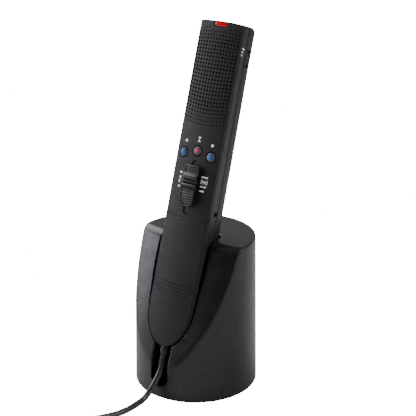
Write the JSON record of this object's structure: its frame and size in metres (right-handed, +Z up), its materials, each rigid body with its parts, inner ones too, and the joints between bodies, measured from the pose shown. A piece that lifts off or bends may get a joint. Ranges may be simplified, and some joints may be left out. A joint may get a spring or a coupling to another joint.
{
  "type": "dictation microphone in desk stand",
  "caption": "Slim corded dictation microphone with a thumb slider, push buttons, grille and lamp, leaning in a round weighted desk stand that has a cord slot.",
  "frame": {"origin": "centre of the stand's underside, on the face of the rubber foot", "axes": "+Z up, -Y towards the front of the stand (the side that the microphone's face and the cord slot look to), +X to the right seen from the front. The microphone leans back 17.9 degrees from +Z about the X axis."},
  "size_m": [0.0708, 0.2045, 0.2057],
  "materials": {
    "stand_plastic": "fine texture",
    "panel_plastic": "fine texture",
    "frame_plastic": "satin",
    "housing_plastic": "fine texture",
    "slider_plastic": "satin",
    "dark_plastic": "matte",
    "button_ring": "gloss",
    "button_blue": "gloss",
    "button_red": "gloss",
    "lamp_red": "gloss, translucent",
    "marking_white": "printed ink",
    "foot_rubber": "matte",
    "cord_jacket": "satin",
    "steel": "plain",
    "plug_steel": "nickel plated",
    "screw_zinc": "zinc plated",
    "aluminium": "satin",
    "brass": "plain",
    "board_green": "lacquered",
    "speaker_paper": "matte",
    "felt": "matte",
    "wire_grey": "matte",
    "plug_white": "satin"
  },
  "bodies": {
    "stand": {"stand_shell": "stand_plastic", "ballast_weight": "steel", "base_plate": "steel", "foot_pad": "foot_rubber", "base_screw_1": "screw_zinc", "base_screw_2": "screw_zinc", "base_screw_3": "screw_zinc", "cradle_pad_lower": "foot_rubber", "cradle_pad_upper": "foot_rubber", "usb_lead": "cord_jacket", "usb_coil": "cord_jacket", "usb_lead_end": "cord_jacket", "usb_plug_grip": "dark_plastic", "usb_plug_shell": "plug_steel", "usb_plug_tongue": "plug_white"},
    "microphone": {"rear_shell": "housing_plastic", "mic_frame": "frame_plastic", "upper_front_panel": "panel_plastic", "lower_front_panel": "panel_plastic", "shell_screw_1": "screw_zinc", "shell_screw_2": "screw_zinc", "shell_screw_3": "screw_zinc", "shell_screw_4": "screw_zinc", "record_lamp_lens": "lamp_red", "record_led": "plug_white", "push_switch_left": "dark_plastic", "push_switch_centre": "dark_plastic", "push_switch_right": "dark_plastic", "slide_switch": "dark_plastic", "volume_pot": "brass", "main_board": "board_green", "speaker_basket": "steel", "speaker_cone": "speaker_paper", "speaker_magnet": "brass", "capsule_boot": "foot_rubber", "mic_capsule": "aluminium", "grille_felt": "felt", "earphone_jack": "dark_plastic", "strain_relief": "cord_jacket", "cable_clamp": "dark_plastic", "clamp_screw_left": "screw_zinc", "clamp_screw_right": "screw_zinc", "lead_tail": "wire_grey", "lead_socket": "plug_white"},
    "left_key": {"button_left": "button_ring", "button_inlay_left": "button_blue"},
    "record_key": {"button_centre": "button_ring", "button_inlay_centre": "button_red"},
    "right_key": {"button_right": "button_ring", "button_inlay_right": "button_blue"},
    "slider": {"slider_cap": "slider_plastic", "dust_strip": "dark_plastic", "slider_carriage": "dark_plastic"},
    "wheel": {"volume_wheel": "slider_plastic"}
  },
  "joints": [
    {"name": "mic_lift", "type": "slide", "parent": "stand", "child": "microphone", "axis": [0, 0.3074, 0.9516], "range_m": [0, 0.08]},
    {"name": "left_key_press", "type": "slide", "parent": "microphone", "child": "left_key", "axis": [0, 0.9516, -0.3074], "range_m": [0, 0.0006], "stiffness_N_per_m": 800},
    {"name": "record_key_press", "type": "slide", "parent": "microphone", "child": "record_key", "axis": [0, 0.9516, -0.3074], "range_m": [0, 0.0006], "stiffness_N_per_m": 800},
    {"name": "right_key_press", "type": "slide", "parent": "microphone", "child": "right_key", "axis": [0, 0.9516, -0.3074], "range_m": [0, 0.0006], "stiffness_N_per_m": 800},
    {"name": "slider_travel", "type": "slide", "parent": "microphone", "child": "slider", "axis": [0, 0.3074, 0.9516], "range_m": [-0.0055, 0.00275]},
    {"name": "volume_turn", "type": "hinge", "parent": "microphone", "child": "wheel", "pos_m": [0.0042, 0.02821, 0.18614], "axis": [0, 0.9516, -0.3074], "range_deg": [-135, 135]}
  ]
}
